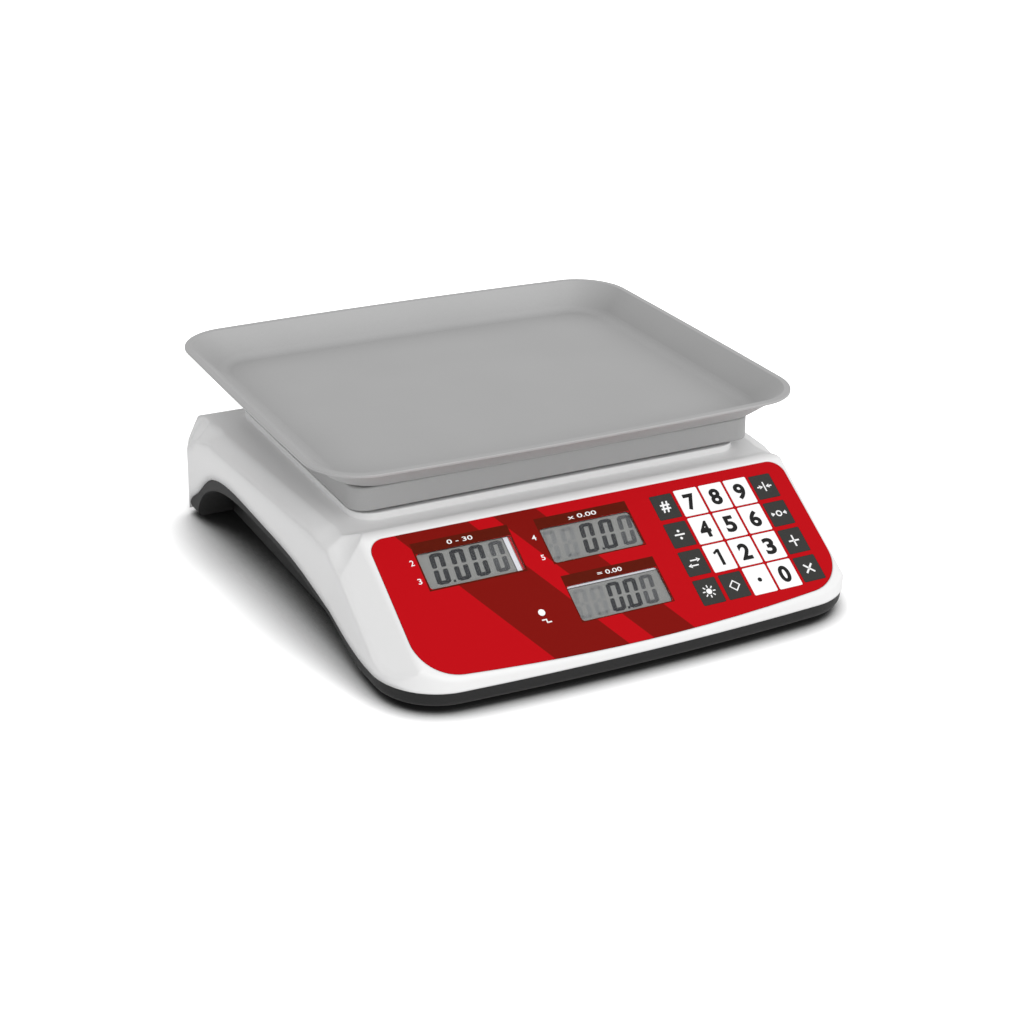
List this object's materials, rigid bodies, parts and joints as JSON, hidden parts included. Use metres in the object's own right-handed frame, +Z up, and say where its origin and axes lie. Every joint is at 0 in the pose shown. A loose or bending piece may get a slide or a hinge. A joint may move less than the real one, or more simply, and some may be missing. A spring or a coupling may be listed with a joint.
{
  "type": "counting scale",
  "caption": "Counter-top price-computing scale: flared steel pan on a load-cell platform, white case with side finger arches, sloping red keypad panel with liquid-crystal windows.",
  "frame": {"origin": "middle of the whole plan, on the surface that the feet stand on", "axes": "+X to the right as seen from the keypad side, +Y away from the user towards the rear display, +Z up"},
  "size_m": [0.3421, 0.3634, 0.112],
  "materials": {
    "case_white": "fine satin",
    "base_black": "fine satin",
    "film_red": "printed film, satin",
    "film_dark": "printed film, satin",
    "window_clear": "clear, gloss",
    "key_white": "printed film, satin",
    "key_dark": "printed film, satin",
    "membrane": "printed circuit film",
    "dome_steel": "satin",
    "lcd": "satin",
    "backlight": "frosted",
    "board_green": "solder mask",
    "part_black": "satin",
    "lamp": "frosted",
    "screw_steel": "satin",
    "battery_grey": "satin",
    "strap_steel": "galvanised",
    "core_iron": "lacquered",
    "cell_aluminium": "milled",
    "bracket_aluminium": "cast",
    "support_grey": "fine satin",
    "pad_rubber": "matt",
    "tray_steel": "bead-blasted, matt",
    "level_green": "clear, gloss",
    "foot_rubber": "matt"
  },
  "bodies": {
    "housing": {"upper_housing": "case_white", "lower_housing": "base_black", "membrane_circuit": "membrane", "key_domes": "dome_steel", "membrane_spacer": "film_dark", "control_overlay": "film_red", "display_windows": "window_clear", "front_lcds": "lcd", "front_backlights": "backlight", "display_board": "board_green", "status_lamp": "lamp", "rear_overlay": "film_red", "rear_windows": "window_clear", "rear_lcds": "lcd", "rear_board": "board_green", "main_board": "board_green", "board_parts": "part_black", "board_screws": "screw_steel", "battery": "battery_grey", "battery_strap": "strap_steel", "transformer": "core_iron", "power_inlet": "part_black", "switch_frame": "part_black", "load_cell": "cell_aluminium", "cell_spacer": "cell_aluminium", "cell_bolts": "screw_steel", "overload_stop": "screw_steel", "spirit_level": "level_green", "case_screws": "screw_steel"},
    "platform": {"platform_bracket": "bracket_aluminium", "platform_bolts": "screw_steel", "tray_support": "support_grey", "support_screws": "screw_steel", "tray_pads": "pad_rubber"},
    "tray": {"tray": "tray_steel"},
    "switch_rocker": {"switch_rocker": "part_black"},
    "key_count": {"key_count": "key_dark"},
    "key_7": {"key_7": "key_white"},
    "key_8": {"key_8": "key_white"},
    "key_9": {"key_9": "key_white"},
    "key_tare": {"key_tare": "key_dark"},
    "key_change": {"key_change": "key_dark"},
    "key_4": {"key_4": "key_white"},
    "key_5": {"key_5": "key_white"},
    "key_6": {"key_6": "key_white"},
    "key_zero": {"key_zero": "key_dark"},
    "key_unit": {"key_unit": "key_dark"},
    "key_1": {"key_1": "key_white"},
    "key_2": {"key_2": "key_white"},
    "key_3": {"key_3": "key_white"},
    "key_plus": {"key_plus": "key_dark"},
    "key_light": {"key_light": "key_dark"},
    "key_memory": {"key_memory": "key_dark"},
    "key_point": {"key_point": "key_white"},
    "key_0": {"key_0": "key_white"},
    "key_clear": {"key_clear": "key_dark"},
    "foot_front_left": {"foot_front_left": "foot_rubber"},
    "foot_front_right": {"foot_front_right": "foot_rubber"},
    "foot_rear_left": {"foot_rear_left": "foot_rubber"},
    "foot_rear_right": {"foot_rear_right": "foot_rubber"}
  },
  "joints": [
    {"name": "platform_give", "type": "slide", "parent": "housing", "child": "platform", "axis": [0, 0, -1], "range_m": [0, 0.0006], "stiffness_N_per_m": 300000, "deforming": ["load_cell"]},
    {"name": "tray_lift_off", "type": "slide", "parent": "platform", "child": "tray", "axis": [0, 0, 1], "range_m": [0, 0.06]},
    {"name": "press_key_count", "type": "slide", "parent": "housing", "child": "key_count", "axis": [0, 0.5329, -0.8462], "range_m": [0, 0.0004], "stiffness_N_per_m": 5000},
    {"name": "press_key_7", "type": "slide", "parent": "housing", "child": "key_7", "axis": [0, 0.5329, -0.8462], "range_m": [0, 0.0004], "stiffness_N_per_m": 5000},
    {"name": "press_key_8", "type": "slide", "parent": "housing", "child": "key_8", "axis": [0, 0.5329, -0.8462], "range_m": [0, 0.0004], "stiffness_N_per_m": 5000},
    {"name": "press_key_9", "type": "slide", "parent": "housing", "child": "key_9", "axis": [0, 0.5329, -0.8462], "range_m": [0, 0.0004], "stiffness_N_per_m": 5000},
    {"name": "press_key_tare", "type": "slide", "parent": "housing", "child": "key_tare", "axis": [0, 0.5329, -0.8462], "range_m": [0, 0.0004], "stiffness_N_per_m": 5000},
    {"name": "press_key_change", "type": "slide", "parent": "housing", "child": "key_change", "axis": [0, 0.5329, -0.8462], "range_m": [0, 0.0004], "stiffness_N_per_m": 5000},
    {"name": "press_key_4", "type": "slide", "parent": "housing", "child": "key_4", "axis": [0, 0.5329, -0.8462], "range_m": [0, 0.0004], "stiffness_N_per_m": 5000},
    {"name": "press_key_5", "type": "slide", "parent": "housing", "child": "key_5", "axis": [0, 0.5329, -0.8462], "range_m": [0, 0.0004], "stiffness_N_per_m": 5000},
    {"name": "press_key_6", "type": "slide", "parent": "housing", "child": "key_6", "axis": [0, 0.5329, -0.8462], "range_m": [0, 0.0004], "stiffness_N_per_m": 5000},
    {"name": "press_key_zero", "type": "slide", "parent": "housing", "child": "key_zero", "axis": [0, 0.5329, -0.8462], "range_m": [0, 0.0004], "stiffness_N_per_m": 5000},
    {"name": "press_key_unit", "type": "slide", "parent": "housing", "child": "key_unit", "axis": [0, 0.5329, -0.8462], "range_m": [0, 0.0004], "stiffness_N_per_m": 5000},
    {"name": "press_key_1", "type": "slide", "parent": "housing", "child": "key_1", "axis": [0, 0.5329, -0.8462], "range_m": [0, 0.0004], "stiffness_N_per_m": 5000},
    {"name": "press_key_2", "type": "slide", "parent": "housing", "child": "key_2", "axis": [0, 0.5329, -0.8462], "range_m": [0, 0.0004], "stiffness_N_per_m": 5000},
    {"name": "press_key_3", "type": "slide", "parent": "housing", "child": "key_3", "axis": [0, 0.5329, -0.8462], "range_m": [0, 0.0004], "stiffness_N_per_m": 5000},
    {"name": "press_key_plus", "type": "slide", "parent": "housing", "child": "key_plus", "axis": [0, 0.5329, -0.8462], "range_m": [0, 0.0004], "stiffness_N_per_m": 5000},
    {"name": "press_key_light", "type": "slide", "parent": "housing", "child": "key_light", "axis": [0, 0.5329, -0.8462], "range_m": [0, 0.0004], "stiffness_N_per_m": 5000},
    {"name": "press_key_memory", "type": "slide", "parent": "housing", "child": "key_memory", "axis": [0, 0.5329, -0.8462], "range_m": [0, 0.0004], "stiffness_N_per_m": 5000},
    {"name": "press_key_point", "type": "slide", "parent": "housing", "child": "key_point", "axis": [0, 0.5329, -0.8462], "range_m": [0, 0.0004], "stiffness_N_per_m": 5000},
    {"name": "press_key_0", "type": "slide", "parent": "housing", "child": "key_0", "axis": [0, 0.5329, -0.8462], "range_m": [0, 0.0004], "stiffness_N_per_m": 5000},
    {"name": "press_key_clear", "type": "slide", "parent": "housing", "child": "key_clear", "axis": [0, 0.5329, -0.8462], "range_m": [0, 0.0004], "stiffness_N_per_m": 5000},
    {"name": "screw_foot_front_left", "type": "slide", "parent": "housing", "child": "foot_front_left", "axis": [0, 0, -1], "range_m": [0, 0.006]},
    {"name": "screw_foot_front_right", "type": "slide", "parent": "housing", "child": "foot_front_right", "axis": [0, 0, -1], "range_m": [0, 0.006]},
    {"name": "screw_foot_rear_left", "type": "slide", "parent": "housing", "child": "foot_rear_left", "axis": [0, 0, -1], "range_m": [0, 0.006]},
    {"name": "screw_foot_rear_right", "type": "slide", "parent": "housing", "child": "foot_rear_right", "axis": [0, 0, -1], "range_m": [0, 0.006]},
    {"name": "switch_rock", "type": "hinge", "parent": "housing", "child": "switch_rocker", "pos_m": [0.144, 0.05825, 0.021], "axis": [0, 0, -1], "range_deg": [0, 12]}
  ]
}
